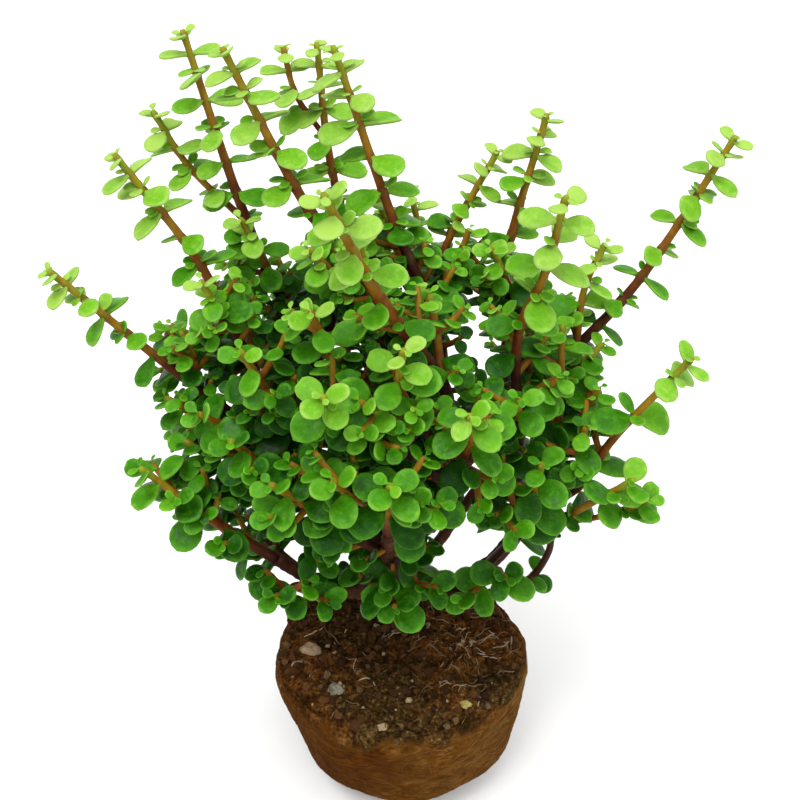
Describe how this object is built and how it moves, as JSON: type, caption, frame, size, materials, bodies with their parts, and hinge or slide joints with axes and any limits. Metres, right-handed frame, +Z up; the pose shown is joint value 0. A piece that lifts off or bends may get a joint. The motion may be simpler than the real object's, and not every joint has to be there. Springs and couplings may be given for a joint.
{
  "type": "dwarf jade bonsai plant with bare root ball",
  "caption": "Bushy dwarf jade bonsai with opposite round succulent leaves on red-brown stems, standing on its own bare root ball of soil and coir.",
  "frame": {"origin": "on the root ball's flat underside, straight below the middle of its rim", "axes": "+Z up through the trunk, -Y towards the plant's front, +X to its right"},
  "size_m": [0.2355, 0.1711, 0.3144],
  "materials": {
    "leaf": "waxy green succulent leaf, semi-gloss",
    "stem": "smooth red-brown young stem, green towards the tip",
    "bark": "dark brown wrinkled bark, matte",
    "soil": "crumbly soil matted with coir and roots, matte",
    "beige_stone": "rough beige grit",
    "grey_stone": "rough grey grit",
    "yellow_stone": "rough yellowish grit"
  },
  "bodies": {
    "root": {"root_ball": "soil", "trunk_and_limbs": "bark", "stone_beige": "beige_stone", "stone_chip": "beige_stone", "stone_grey": "grey_stone", "stone_yellow": "yellow_stone", "back_left": "leaf", "back_middle": "leaf", "back_right": "leaf", "back_short": "leaf", "cut_twig": "leaf", "fill_1": "leaf", "fill_10": "leaf", "fill_11": "leaf", "fill_12": "leaf", "fill_13": "leaf", "fill_14": "leaf", "fill_15": "leaf", "fill_16": "leaf", "fill_2": "leaf", "fill_3": "leaf", "fill_4": "leaf", "fill_5": "leaf", "fill_6": "leaf", "fill_7": "leaf", "fill_8": "leaf", "fill_9": "leaf", "front_bright": "leaf", "front_high": "leaf", "front_left": "leaf", "front_left_high": "leaf", "front_left_low": "leaf", "front_low": "leaf", "front_right": "leaf", "front_right_low": "leaf", "front_tall": "leaf", "left_front": "leaf", "left_front_high": "leaf", "left_high": "leaf", "left_low_out": "leaf", "left_middle": "leaf", "left_out": "leaf", "left_side": "leaf", "middle_high": "leaf", "right_back_tall": "leaf", "right_high": "leaf", "right_large": "leaf", "right_low": "leaf", "right_lowest": "leaf", "right_middle": "leaf", "right_tall": "leaf", "tall_back": "leaf", "tall_left": "leaf", "tall_left_back": "leaf", "tall_middle": "leaf"}
  },
  "joints": []
}
